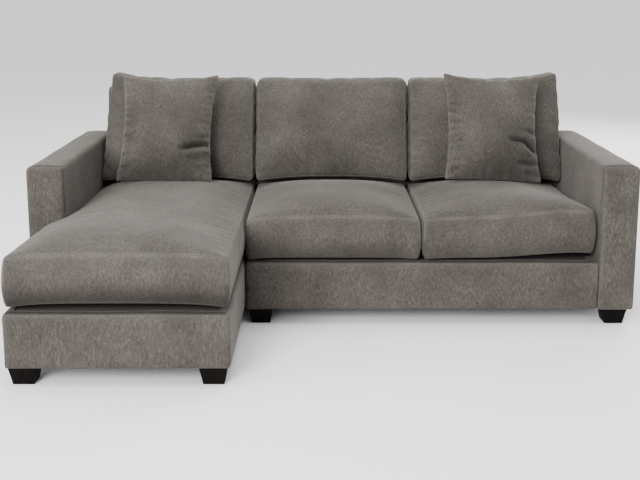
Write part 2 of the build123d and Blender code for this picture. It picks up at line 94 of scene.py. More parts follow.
def bump(nodes, links, shader, height, strength, distance):
    """Relief of a height pattern on the shader."""
    relief = nodes.new("ShaderNodeBump")
    relief.inputs["Strength"].default_value = strength
    relief.inputs["Distance"].default_value = distance
    links.new(height, relief.inputs["Height"])
    links.new(relief.outputs["Normal"], shader.inputs["Normal"])


def grained_wood(name, grain_scale, pale, dark, roughness):
    """Wood whose grain runs along the longest way of the scale."""
    look, nodes, links, shader, place = new_look(name)
    along = stretched(nodes, links, place, grain_scale)
    grain = noise(nodes, links, along, 1.0, detail=6.0, roughness=0.62)
    links.new(ramp(nodes, links, grain, [(0.34, dark), (0.62, pale)]), shader.inputs["Base Color"])
    shader.inputs["Roughness"].default_value = roughness
    bump(nodes, links, shader, grain, strength=0.25, distance=0.0006)
    return look


def dress(node_names, look):
    """Give a finish to solids that stay as they are."""
    for node_name in node_names:
        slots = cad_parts[node_name].material_slots
        for slot in slots:
            slot.material = look


section_names = ("chaise", "loveseat")
timber_parts = (
    "front_rail", "side_rails", "rear_rails", "stretchers",
    "corner_blocks", "back_posts", "back_cap_rail",
)
pine_grain = (14, 90, 60)
pine_pale = (0.60, 0.43, 0.25)
pine_dark = (0.42, 0.27, 0.14)
sawn_pine = grained_wood("sawn_pine", pine_grain, pine_pale, pine_dark, roughness=0.75)
for section in section_names:
    dress([f"{section}_{part}" for part in timber_parts], sawn_pine)

# Arm frames.
# Plywood uprights with routed openings between two boards, screwed to the base rails.
# The plies show as bands on the cut edges.
ply_grain = (60, 60, 420)
ply_pale = (0.66, 0.51, 0.33)
ply_dark = (0.46, 0.33, 0.19)
raw_plywood = grained_wood("raw_plywood", ply_grain, ply_pale, ply_dark, roughness=0.7)
for arm in ("left_arm", "right_arm"):
    dress([f"{arm}_boards", f"{arm}_uprights"], raw_plywood)

# Webbing of the seats and backs.
# Black elastic straps with a woven rib, stapled across the rails in two crossed layers.


def woven(name, ribs, wander, dark, pale, roughness, relief):
    """Coarse cloth with a woven rib, which wanders a little."""
    look, nodes, links, shader, place = new_look(name)
    weave = nodes.new("ShaderNodeTexWave")
    weave.inputs["Scale"].default_value = ribs
    weave.inputs["Distortion"].default_value = wander
    links.new(place, weave.inputs["Vector"])
    rib = weave.outputs["Fac"]
    links.new(ramp(nodes, links, rib, [(0.2, dark), (0.8, pale)]), shader.inputs["Base Color"])
    shader.inputs["Roughness"].default_value = roughness
    bump(nodes, links, shader, rib, strength=relief, distance=0.0005)
    return look


strap_dark = (0.012, 0.012, 0.014)
strap_pale = (0.05, 0.05, 0.055)
woven_strap = woven("woven_strap", 320, 0.6, strap_dark, strap_pale, roughness=0.85, relief=0.4)
webbing_parts = ("seat_webbing", "cross_webbing", "back_webbing")
for section in section_names:
    dress([f"{section}_{part}" for part in webbing_parts], woven_strap)

# Hooks, foot bolts and nuts.
# Pressed and turned steel with a bright zinc plating, screwed to the end rails and corner blocks.
zinc_plate, nodes, links, shader, place = new_look("zinc_plate")
spangle = noise(nodes, links, place, 240, detail=4.0)
zinc_colours = [(0.35, (0.48, 0.49, 0.51)), (0.65, (0.70, 0.71, 0.72))]
links.new(ramp(nodes, links, spangle, zinc_colours), shader.inputs["Base Color"])
shader.inputs["Metallic"].default_value = 1.0
shader.inputs["Roughness"].default_value = 0.34
bump(nodes, links, shader, spangle, strength=0.06, distance=0.0003)
dress(["hook_sleeves", "hook_tongues"], zinc_plate)
for section in section_names:
    dress([f"{section}_foot_bolts", f"{section}_foot_nuts"], zinc_plate)

# Dust cloths under the bases.
# Black non-woven cloth, stapled flat to the underside of the rails.
dust_cloth, nodes, links, shader, place = new_look("dust_cloth")
felt = noise(nodes, links, place, 520, detail=5.0, roughness=0.7)
felt_colours = [(0.3, (0.008, 0.008, 0.009)), (0.7, (0.03, 0.03, 0.032))]
links.new(ramp(nodes, links, felt, felt_colours), shader.inputs["Base Color"])
shader.inputs["Roughness"].default_value = 0.95
bump(nodes, links, shader, felt, strength=0.35, distance=0.0006)
dress([f"{section}_dust_cover" for section in section_names], dust_cloth)

# Feet.
# Tapered square blocks of hardwood with a near-black satin stain and broken edges.
# Each one turns onto a bolt that comes down through the base.


def ready():
    """Leave edit mode and drop every selection, so that an operator acts on the new piece alone."""
    if bpy.context.object and bpy.context.object.mode != "OBJECT":
        bpy.ops.object.mode_set(mode="OBJECT")
    bpy.ops.object.select_all(action="DESELECT")


def add_block(name, low, high):
    """A cube primitive between two corners, with its place in its mesh."""
    ready()
    middle = (Vector(low) + Vector(high)) / 2
    bpy.ops.mesh.primitive_cube_add(size=1, location=middle)
    piece = bpy.context.object
    piece.name = name
    piece.scale = Vector(high) - Vector(low)
    bpy.ops.object.transform_apply(location=True, rotation=True, scale=True)
    return piece


def rows_of(mesh, what):
    """What a mesh keeps for each vertex, such as its place or normal, as rows."""
    flat = np.zeros(len(mesh.vertices) * 3)
    mesh.vertices.foreach_get(what, flat)
    return flat.reshape(-1, 3)


def points_of(piece):
    """Vertex places of a piece as rows."""
    return rows_of(piece.data, "co")


def move_points(piece, points):
    """Write vertex places back to a piece."""
    piece.data.vertices.foreach_set("co", np.asarray(points, dtype=float).ravel())
    piece.data.update()


def join(pieces, name):
    """One object from several, under the first one's place."""
    ready()
    for piece in pieces:
        piece.select_set(True)
    bpy.context.view_layer.objects.active = pieces[0]
    if len(pieces) > 1:
        bpy.ops.object.join()
    pieces[0].name = name
    return pieces[0]


def finish_piece(piece, look, body, nodes):
    """Give a piece its finish, its body and the solids that it stands for."""
    piece.data.materials.clear()
    piece.data.materials.append(look)
    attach(piece, body)
    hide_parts(*nodes)


stain_grain = (40, 40, 7)
stain_pale = (0.0026, 0.0018, 0.0012)
stain_dark = (0.0011, 0.0008, 0.0006)
stained_wood = grained_wood("stained_wood", stain_grain, stain_pale, stain_dark, roughness=0.6)
stain_shader = stained_wood.node_tree.nodes["Principled BSDF"]
stain_shader.inputs["Specular IOR Level"].default_value = 0.07
foot_top = 0.094
foot_bottom = 0.070
foot_edge = 0.003
foot_crease = math.radians(35)
foot_half = foot_top / 2
for section in section_names:
    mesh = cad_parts[f"{section}_feet"].data
    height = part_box(f"{section}_feet")[1].z
    corners = [vertex.co for vertex in mesh.vertices if vertex.co.z < 0.001]
    centres = []
    for corner in corners:
        if all((corner.xy - centre).length > foot_top for centre in centres):
            near = [other.xy for other in corners if (other.xy - corner.xy).length < 1.5 * foot_top]
            low = Vector((min(p.x for p in near), min(p.y for p in near)))
            high = Vector((max(p.x for p in near), max(p.y for p in near)))
            centres.append((low + high) / 2)
    feet = []
    for centre in centres:
        foot_low = (centre.x - foot_half, centre.y - foot_half, 0)
        foot_high = (centre.x + foot_half, centre.y + foot_half, height)
        foot = add_block("foot", foot_low, foot_high)
        places = points_of(foot)
        below = places[:, 2] < height / 2
        middle = np.array(centre)
        places[below, :2] = middle + (places[below, :2] - middle) * foot_bottom / foot_top
        move_points(foot, places)
        edge = foot.modifiers.new("broken_edge", "BEVEL")
        edge.width = foot_edge
        edge.segments = 3
        bpy.ops.object.modifier_apply(modifier=edge.name)
        feet.append(foot)
    feet = join(feet, f"{section}_turned_feet")
    bpy.ops.object.shade_smooth_by_angle(angle=foot_crease)
    finish_piece(feet, stained_wood, f"{section}_section", [f"{section}_feet"])

# Base covers.
# Velvet over thin wadding, pulled round the rails of each base and stapled underneath.
# A lip turns in over the rails below the cushions, and the chaise's cover turns in before its arm.


def velvet():
    """Short-pile velvet with a streaked nap, mauve in places; one point attribute paints shade on it
    and another paints highlight, partly rubbed pile.
    """
    look, nodes, links, shader, place = new_look("taupe_velvet")
    facing = nodes.new("ShaderNodeNewGeometry").outputs["Normal"]
    split = nodes.new("ShaderNodeSeparateXYZ")
    links.new(facing, split.inputs["Vector"])
    level = nodes.new("ShaderNodeMath")
    level.operation = "ABSOLUTE"
    links.new(split.outputs["Z"], level.inputs[0])
    downward = stretched(nodes, links, place, (230, 230, 52))
    backward = stretched(nodes, links, place, (230, 52, 140))
    nap_down = noise(nodes, links, downward, 1.0, detail=4.0, roughness=0.6)
    nap_back = noise(nodes, links, backward, 1.0, detail=4.0, roughness=0.6)
    nap = nodes.new("ShaderNodeMix")
    links.new(level.outputs["Value"], nap.inputs["Factor"])
    links.new(nap_down, nap.inputs["A"])
    links.new(nap_back, nap.inputs["B"])
    crush = noise(nodes, links, place, 105, detail=5.0, roughness=0.66)
    clouds = noise(nodes, links, place, 6.0, detail=4.0)
    pile = noise(nodes, links, place, 420, roughness=0.7)

    def mixed(first, second, share):
        blend = nodes.new("ShaderNodeMix")
        blend.inputs["Factor"].default_value = share
        links.new(first, blend.inputs["A"])
        links.new(second, blend.inputs["B"])
        return blend.outputs["Result"]

    def tinted(cloth, amount, colour, way="MIX"):
        tint = nodes.new("ShaderNodeMix")
        tint.data_type = "RGBA"
        tint.blend_type = way
        links.new(amount, tint.inputs["Factor"])
        links.new(cloth, tint.inputs["A"])
        tint.inputs["B"].default_value = (*colour, 1)
        return tint.outputs["Result"]

    def kept(name):
        reader = nodes.new("ShaderNodeAttribute")
        reader.attribute_name = name
        return reader.outputs["Fac"]

    grain = mixed(mixed(nap.outputs["Result"], crush, share=0.40), pile, share=0.22)
    tone = mixed(grain, clouds, share=0.23)
    cloth = ramp(nodes, links, tone, [
        (0.39, (0.030, 0.0262, 0.0223)),
        (0.50, (0.053, 0.0473, 0.0413)),
        (0.62, (0.092, 0.0832, 0.0739)),
    ])
    patches = noise(nodes, links, place, 11.0)
    cast = ramp(nodes, links, patches, [(0.50, (0, 0, 0)), (0.75, (0.5, 0.5, 0.5))])
    cloth = tinted(cloth, cast, (0.058, 0.0490, 0.0480))
    # Painted shade: the cloth is darkened where the first attribute is set. Painted highlight, partly
    # rubbed pile: it is paled where the second is set.
    cloth = tinted(cloth, kept("painted_shade"), (0.34, 0.33, 0.32), "MULTIPLY")
    cloth = tinted(cloth, kept("rub_and_highlight"), (0.142, 0.130, 0.117))
    links.new(cloth, shader.inputs["Base Color"])
    shader.inputs["Roughness"].default_value = 0.92
    shader.inputs["Specular IOR Level"].default_value = 0.12
    shader.inputs["Sheen Weight"].default_value = 0.18
    shader.inputs["Sheen Roughness"].default_value = 0.42
    shader.inputs["Sheen Tint"].default_value = (0.72, 0.67, 0.62, 1)
    bump(nodes, links, shader, grain, strength=0.55, distance=0.0022)
    return look


def add_pad(name, low, high, cell):
    """A block cut into a grid of cells, as a blank for a padded piece."""
    piece = add_block(name, low, high)
    bpy.context.tool_settings.mesh_select_mode = (False, True, False)
    for axis in range(3):
        cuts = round((high[axis] - low[axis]) / cell) - 1
        if cuts < 1:
            continue
        bpy.ops.object.mode_set(mode="EDIT")
        bpy.ops.mesh.select_all(action="DESELECT")
        bpy.ops.object.mode_set(mode="OBJECT")
        mesh = piece.data
        for edge in mesh.edges:
            along = mesh.vertices[edge.vertices[1]].co - mesh.vertices[edge.vertices[0]].co
            edge.select = abs(along[axis]) > 0.9 * along.length
        bpy.ops.object.mode_set(mode="EDIT")
        bpy.ops.mesh.subdivide(number_cuts=cuts, quadcorner="STRAIGHT_CUT")
        bpy.ops.object.mode_set(mode="OBJECT")
    return piece


def edge_distance(points, low, high):
    """How far each point on a block's surface is from the block's nearest edge."""
    inward = np.minimum(points - np.array(low), np.array(high) - points)
    inward.sort(axis=1)
    return inward[:, 1]


def rounded(points, low, high, radius):
    """Points of a block's surface, moved onto the same block with rounded edges."""
    low = np.array(low) + radius
    high = np.array(high) - radius
    core = np.clip(points, low, high)
    out = points - core
    length = np.linalg.norm(out, axis=1, keepdims=True)
    reach = np.abs(out).max(axis=1, keepdims=True)
    return core + out * np.where(length > 1e-9, reach / np.maximum(length, 1e-9), 0)


def keep(piece, name, amount):
    """Keep a value from 0 to 1 on each point, for the velvet to read."""
    layer = piece.data.attributes.new(name, "FLOAT", "POINT")
    layer.data.foreach_set("value", np.clip(amount, 0, 1).astype(np.float32))


def set_rub_and_highlight(piece, amount):
    """Say how far each point is painted pale: painted highlight, partly rubbed pile."""
    keep(piece, "rub_and_highlight", amount)


def set_painted_shade(piece, amount):
    """Say how far each point is painted dark, as painted shade."""
    keep(piece, "painted_shade", amount)


def rolling(points, height, pitch, turn):
    """Slow waves of hand-pulled cloth."""
    x, y, z = points.T * 2 * math.pi / pitch
    waves = np.sin(x + turn) * np.cos(0.8 * y - turn) + np.sin(1.3 * z + 0.6 * x + 2 * turn)
    return height * waves / 2


def swell_by(piece, points, amount):
    """Push points out along the normals that they have on a piece."""
    move_points(piece, points)
    move_points(piece, points + rows_of(piece.data, "normal") * amount[:, None])


def drop_faces(piece, unwanted):
    """Delete the faces of a piece whose centre and normal answer to a rule."""
    bpy.context.tool_settings.mesh_select_mode = (False, False, True)
    bpy.ops.object.mode_set(mode="EDIT")
    bpy.ops.mesh.select_all(action="DESELECT")
    bpy.ops.object.mode_set(mode="OBJECT")
    for polygon in piece.data.polygons:
        polygon.select = bool(unwanted(polygon.center, polygon.normal))
    bpy.ops.object.mode_set(mode="EDIT")
    bpy.ops.mesh.delete(type="FACE")
    bpy.ops.object.mode_set(mode="OBJECT")


def thicken(piece, wall):
    """Give an open skin a wall on its inner side."""
    bpy.context.view_layer.objects.active = piece
    skin = piece.modifiers.new("wall", "SOLIDIFY")
    skin.thickness = wall
    skin.offset = -1
    bpy.ops.object.modifier_apply(modifier=skin.name)


def smooth(piece):
    """One subdivision, shaded smooth."""
    ready()
    piece.select_set(True)
    bpy.context.view_layer.objects.active = piece
    finer = piece.modifiers.new("finer", "SUBSURF")
    finer.levels = 1
    finer.render_levels = 1
    bpy.ops.object.modifier_apply(modifier=finer.name)
    bpy.ops.object.shade_smooth()


def ease(value):
    """A soft step from 0 to 1."""
    value = np.clip(value, 0, 1)
    return value * value * (3 - 2 * value)


def step_in(blank, across, left, right, ahead, reach):
    """Places across a chaise piece that is drawn in beside the arm, behind its ear."""
    behind = ease((blank[:, 1] - ear_back + ahead) / reach)
    edge = left + behind * (arm_inside + arm_clearance - left)
    return edge + (across - left) * (right - edge) / (right - left)


taupe_velvet = velvet()
ear_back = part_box("left_arm_front_panel")[0].y
arm_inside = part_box("left_arm_front_panel")[1].x
arm_clearance = 0.004
base_cell = 0.012
base_round = 0.022
base_edge = 0.006
base_lip = 0.034
base_wall = 0.004
base_cloth = 0.002
base_wave = 0.0016
# Strengths of the painted highlight along the base's edges, partly rubbed pile, and of the painted
# shade on the lip under the cushions.
base_rub_and_highlight = 0.22
lip_shade = 0.95
return_depth = 0.020
return_cell = 0.004
return_inset = 0.001
# Added to a box, these take an edge out of the reach of its rounding.
across_x = Vector((0.5, 0, 0))
across_y = Vector((0, 0.5, 0))
tall = Vector((0, 0, 0.5))
for section, turn in zip(section_names, (1.0, 2.2)):
    low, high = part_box(f"{section}_base_cover")
    low.z -= base_cloth
    skirt = add_pad(f"{section}_skirt", low, high, base_cell)
    blank = points_of(skirt)
    seam_gap = edge_distance(blank, low, high)
    # Painted highlight along the edges, partly rubbed pile, and painted shade on the lip under the
    # cushions.
    set_rub_and_highlight(skirt, base_rub_and_highlight * np.exp(-seam_gap / 0.010) * (blank[:, 2] > low.z + 0.1))
    set_painted_shade(skirt, lip_shade * ease((seam_gap - 0.002) / 0.012) * (blank[:, 2] > high.z - 0.001))
    tucked_high = high + across_y
    if section == "loveseat":
        tucked_high += across_x
    shaped = rounded(blank, low - tall, tucked_high, base_round)
    shaped = rounded(shaped, low, tucked_high, base_edge)
    if section == "chaise":
        shaped[:, 0] = step_in(blank, shaped[:, 0], low.x, high.x, ahead=0.012, reach=0.010)
    swell_by(skirt, shaped, rolling(blank, base_wave, pitch=0.30, turn=turn))

    def inside(centre, normal):
        inner = low.x + base_lip < centre.x < high.x - base_lip and centre.y > low.y + base_lip
        return (abs(normal.z) > 0.7 and inner) or normal.y > 0.7

    drop_faces(skirt, inside)
    thicken(skirt, base_wall)
    if section == "chaise":
        return_low = Vector((low.x + return_inset, ear_back - return_depth, low.z))
        return_high = Vector((arm_inside, ear_back, high.z - base_edge))
        cloth_return = add_pad("skirt_return", return_low, return_high, return_cell)
        laid = rounded(points_of(cloth_return), return_low, return_high, return_inset)
        move_points(cloth_return, laid)
        skirt = join([skirt, cloth_return], f"{section}_skirt")
    smooth(skirt)
    finish_piece(skirt, taupe_velvet, f"{section}_section", [f"{section}_base_cover"])

# Decks under the loose cushions.
# Plain grey-black cloth over a thin felt pad, sewn in channels and stapled over the webbing.
deck_dark = (0.020, 0.018, 0.016)
deck_pale = (0.042, 0.039, 0.035)
deck_cloth = woven("deck_cloth", 260, 1.2, deck_dark, deck_pale, roughness=0.9, relief=0.3)
deck_cell = 0.022
deck_round = 0.005
deck_channel = 0.21
deck_stitch = 0.004
deck_slack = 0.0015
for section in section_names:
    low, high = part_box(f"{section}_deck_pad")
    deck = add_pad(f"{section}_deck", low, high, deck_cell)
    blank = points_of(deck)
    places = rounded(blank, low, high, deck_round)
    if section == "chaise":
        places[:, 0] = step_in(blank, places[:, 0], low.x, high.x, ahead=0.024, reach=0.022)
    top = blank[:, 2] > high.z - 0.001
    sewn = np.abs(np.sin(math.pi * (blank[:, 1] - low.y) / deck_channel))
    places[top, 2] -= deck_stitch * np.exp(-(sewn[top] / 0.14) ** 2) + deck_slack
    move_points(deck, places)
    smooth(deck)
    finish_piece(deck, deck_cloth, f"{section}_section", [f"{section}_deck_pad"])

# Arms.
# Velvet over wadding on a boxed frame: one piece wraps the sides and the rounded top.
# A separate panel closes the front, sewn on round its edge.


def seam_cord(name, route, thickness, closed):
    """A thin roll of cloth along a seam."""
    ready()
    curve = bpy.data.curves.new(name, "CURVE")
    curve.dimensions = "3D"
    curve.bevel_depth = thickness / 2
    curve.bevel_resolution = 2
    spline = curve.splines.new("POLY")
    spline.points.add(len(route) - 1)
    for point, place in zip(spline.points, route):
        point.co = (*place, 1)
    spline.use_cyclic_u = closed
    cord = bpy.data.objects.new(name, curve)
    bpy.context.collection.objects.link(cord)
    cord.select_set(True)
    bpy.context.view_layer.objects.active = cord
    bpy.ops.object.convert(target="MESH")
    cord = bpy.context.object
    bpy.ops.object.mode_set(mode="EDIT")
    bpy.ops.mesh.select_all(action="SELECT")
    bpy.ops.mesh.remove_doubles(threshold=seam_weld)
    bpy.ops.mesh.normals_make_consistent(inside=False)
    bpy.ops.object.mode_set(mode="OBJECT")
    bpy.ops.object.shade_smooth()
    # The cord is painted pale all along: painted highlight, partly rubbed pile.
    set_rub_and_highlight(cord, np.full(len(cord.data.vertices), seam_rub_and_highlight))
    return cord


def arm_edges(blank, low, high, side):
    """An arm's block, rounder outside than inside, and square where it meets the back."""
    outer_low, outer_high = (low, high + across_x) if side == "left" else (low - across_x, high)
    inner_low, inner_high = (low - across_x, high) if side == "left" else (low, high + across_x)
    shaped = rounded(blank, outer_low - tall, outer_high, arm_round)
    shaped = rounded(shaped, inner_low - tall, inner_high + across_y, arm_inner)
    return rounded(shaped, outer_low, outer_high + tall, arm_foot)


arm_cell = 0.020
arm_round = 0.024
arm_inner = 0.012
arm_foot = 0.014
arm_cloth = 0.003
arm_swell = 0.004
arm_wave = 0.0015
# Strength of the painted highlight near the arm's top, partly rubbed pile.
arm_rub_and_highlight = 0.12
panel_cell = 0.012
panel_edge = 0.006
panel_swell = 0.006
# Strength of the painted highlight round the front panel's edge, partly rubbed pile.
panel_rub_and_highlight = 0.16
seam_thickness = 0.0028
seam_weld = 0.00005
# Strength of the painted highlight on the seam cords, partly rubbed pile.
seam_rub_and_highlight = 0.24
quarter = np.linspace(0, math.pi / 2, 7)
for side, section, turn in (("left", "chaise", 0.4), ("right", "loveseat", 1.9)):
    low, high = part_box(f"{side}_arm_cover")
    low.z -= arm_cloth
    wrap = add_pad(f"{side}_arm_wrap", low, high, arm_cell)
    blank = points_of(wrap)
    along = np.clip((blank - np.array(low)) / np.array(high - low), 0, 1)
    # Painted highlight along the top edges, partly rubbed pile.
    near_top = np.exp(-np.abs(blank[:, 2] - high.z) / 0.02)
    near_top *= np.exp(-edge_distance(blank, low, high) / 0.014)
    set_rub_and_highlight(wrap, arm_rub_and_highlight * near_top)
    shaped = arm_edges(blank, low - Vector((0, arm_round, 0)), high, side)
    bulge = arm_swell * np.sin(math.pi * along[:, 0]) * (along[:, 2] > 0.999)
    bulge += 0.6 * arm_swell * np.sin(math.pi * along[:, 2]) * np.sin(math.pi * along[:, 1]) ** 0.5
    bulge += rolling(blank, arm_wave, pitch=0.26, turn=turn)
    bulge[blank[:, 1] < low.y + 0.001] = 0
    swell_by(wrap, shaped, bulge)
    smooth(wrap)
    finish_piece(wrap, taupe_velvet, f"{section}_section", [f"{side}_arm_cover"])

    low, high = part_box(f"{side}_arm_front_panel")
    low.z -= arm_cloth
    panel = add_pad(f"{side}_arm_front", low, high, panel_cell)
    blank = points_of(panel)
    along = (blank - np.array(low)) / np.array(high - low)
    # Painted highlight round the panel's edge, partly rubbed pile.
    set_rub_and_highlight(panel, panel_rub_and_highlight * np.exp(-edge_distance(blank, low, high) / 0.007))
    shaped = arm_edges(blank, low - across_y, high + across_y, side)
    shaped = rounded(shaped, low, high + Vector((0, 0.1, 0)), panel_edge)
    front = np.clip((high.y - blank[:, 1]) / (high.y - low.y), 0, 1)
    dome = (np.sin(math.pi * along[:, 0]) * np.sin(math.pi * np.clip(along[:, 2], 0, 1))) ** 0.5
    shaped[:, 1] -= panel_swell * front * np.nan_to_num(dome)
    move_points(panel, shaped)
    smooth(panel)
    left_round, right_round = (arm_round, arm_inner) if side == "left" else (arm_inner, arm_round)
    route = [(low.x, high.y, low.z + arm_round)]
    for angle in quarter:
        rim_x = low.x + left_round * (1 - math.cos(angle))
        route.append((rim_x, high.y, high.z - left_round * (1 - math.sin(angle))))
    for angle in quarter:
        rim_x = high.x - right_round * (1 - math.sin(angle))
        route.append((rim_x, high.y, high.z - right_round * (1 - math.cos(angle))))
    route.append((high.x, high.y, low.z + arm_round))
    cord = seam_cord("seam", route, seam_thickness, False)
    panel = join([panel, cord], f"{side}_arm_front")
    finish_piece(panel, taupe_velvet, f"{section}_section", [f"{side}_arm_front_panel"])

# Backs.
# Velvet over wadding and webbing on leaning posts, rounded over the cap rail.
# A flat panel closes the outside, tacked under the top edge and turned in beside the other section.
padding_cell = 0.024
back_round = 0.030
# Strength of the painted highlight along the padding's edges, partly rubbed pile.
padding_rub_and_highlight = 0.12
outside_cell = 0.030
outside_drop = 0.024
outside_wall = 0.010
outside_lap = 0.004
outside_edge = 0.005
outside_wave = 0.0012
# Strength of the painted highlight along the outside panel's edges, partly rubbed pile.
outside_rub_and_highlight = 0.15
flank_cell = 0.012
flank_wall = 0.012
flank_length = 0.10
flank_edge = 0.003
for section in section_names:
    low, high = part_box(f"{section}_back_cover")
    deck_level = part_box(f"{section}_deck_pad")[1].z
    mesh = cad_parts[f"{section}_back_cover"].data
    foot_front = min(vertex.co.y for vertex in mesh.vertices)
    head_front = min(vertex.co.y for vertex in mesh.vertices if vertex.co.z > high.z - 0.05)
    pad_low = Vector((low.x, foot_front, deck_level))
    padding = add_pad(f"{section}_back_padding", pad_low, high, padding_cell)
    blank = points_of(padding)
    # Painted highlight along the edges, partly rubbed pile.
    set_rub_and_highlight(padding, padding_rub_and_highlight * np.exp(-edge_distance(blank, pad_low, high) / 0.014))
    shaped = rounded(blank, pad_low - Vector((0.04, 0, 0.05)), high + Vector((0.04, 0, 0)), back_round)
    lift = (shaped[:, 2] - deck_level) / (high.z - 0.05 - deck_level)
    front = foot_front + lift * (head_front - foot_front)
    shaped[:, 1] = front + (shaped[:, 1] - foot_front) * (high.y - front) / (high.y - foot_front)
    move_points(padding, shaped)
    lap = outside_lap if section == "chaise" else -outside_lap
    panel_low = Vector((low.x - lap, high.y - outside_wall, low.z - base_cloth))
    panel_high = Vector((high.x - lap, high.y + base_cloth, high.z - outside_drop))
    outside = add_pad(f"{section}_back_outside", panel_low, panel_high, outside_cell)
    blank = points_of(outside)
    # Painted highlight along the edges, partly rubbed pile.
    set_rub_and_highlight(outside, outside_rub_and_highlight * np.exp(-edge_distance(blank, panel_low, panel_high) / 0.008))
    shaped = rounded(blank, panel_low, panel_high, outside_edge)
    shaped[:, 1] += rolling(blank, outside_wave, pitch=0.4, turn=0.7) * (blank[:, 1] > high.y)
    move_points(outside, shaped)
    joint_x, inward = (high.x, -flank_wall) if section == "chaise" else (low.x, flank_wall)
    flank_low = Vector((min(joint_x, joint_x + inward), high.y - flank_length, low.z - base_cloth))
    flank_high = Vector((max(joint_x, joint_x + inward), high.y, deck_level))
    flank = add_pad(f"{section}_back_flank", flank_low, flank_high, flank_cell)
    move_points(flank, rounded(points_of(flank), flank_low, flank_high, flank_edge))
    back = join([padding, outside, flank], f"{section}_back")
    smooth(back)
    finish_piece(back, taupe_velvet, f"{section}_section", [f"{section}_back_cover"])

# Seat cushions.
# Foam blocks wrapped in wadding, in boxed velvet covers: the seams run round the top and the bottom.
# They lie loose on the decks. The chaise's has an ear in front of the arm.


def puff(piece, held, pressure, slack, cap):
    """Swell a cushion's slack cover with a short cloth run, no further than a cap."""
    start = points_of(piece)
    group = piece.vertex_groups.new(name="held")
    for index, weight in enumerate(held):
        if weight > 0.01:
            group.add([index], float(weight), "REPLACE")
    cover = piece.modifiers.new("cover", "CLOTH")
    cover.settings.quality = 4
    cover.settings.mass = 0.25
    cover.settings.tension_stiffness = 18
    cover.settings.compression_stiffness = 12
    cover.settings.shear_stiffness = 6
    cover.settings.bending_stiffness = 0.6
    cover.settings.use_pressure = True
    cover.settings.uniform_pressure_force = pressure
    cover.settings.shrink_min = -slack
    cover.settings.effector_weights.gravity = 0
    cover.settings.vertex_group_mass = group.name
    cover.collision_settings.use_collision = False
    scene = bpy.context.scene
    for step in range(1, puff_steps + 1):
        scene.frame_set(step)
    swollen = rows_of(piece.evaluated_get(bpy.context.evaluated_depsgraph_get()).to_mesh(), "co")
    piece.modifiers.remove(cover)
    piece.vertex_groups.remove(group)
    moved = swollen - start
    length = np.linalg.norm(moved, axis=1, keepdims=True)
    move_points(piece, start + moved * np.minimum(1, cap / np.maximum(length, 1e-9)))
    scene.frame_set(1)


def loop_order(places, axes):
    """Order of a block's edge points round their middle, in the plane of two axes."""
    middle = (places.min(axis=0) + places.max(axis=0)) / 2
    out = places - middle
    return np.argsort(np.arctan2(out[:, axes[1]], out[:, axes[0]]))


def seam_route(piece, blank, seam, axes):
    """Places along a seam of a smoothed piece, in order, from the points that were its blank's."""
    return points_of(piece)[:len(blank)][seam][loop_order(blank[seam], axes)]


def puckers(along, away, pitch, height, reach, turn):
    """Short folds that run in from a seam and die out."""
    beat = np.sin(2 * math.pi * along / pitch + turn)
    beat += 0.7 * np.sin(2 * math.pi * along / (1.7 * pitch) + 3 * turn)
    return height * beat * np.exp(-away / reach)


puff_steps = 20
seat_cell = 0.0125
seat_corner = 0.016
seat_edge = 0.011
seat_crown = 0.050
seat_boxing = 0.158
seat_belly = 0.012
seat_set_back = 0.004
seat_lean = 0.022
seat_tuck = 0.006
# Strength of the painted highlight along the top seams, partly rubbed pile.
seat_rub_and_highlight = 0.46
seat_pucker = 0.0003
crown_reach = 0.30
front_crown = 0.28
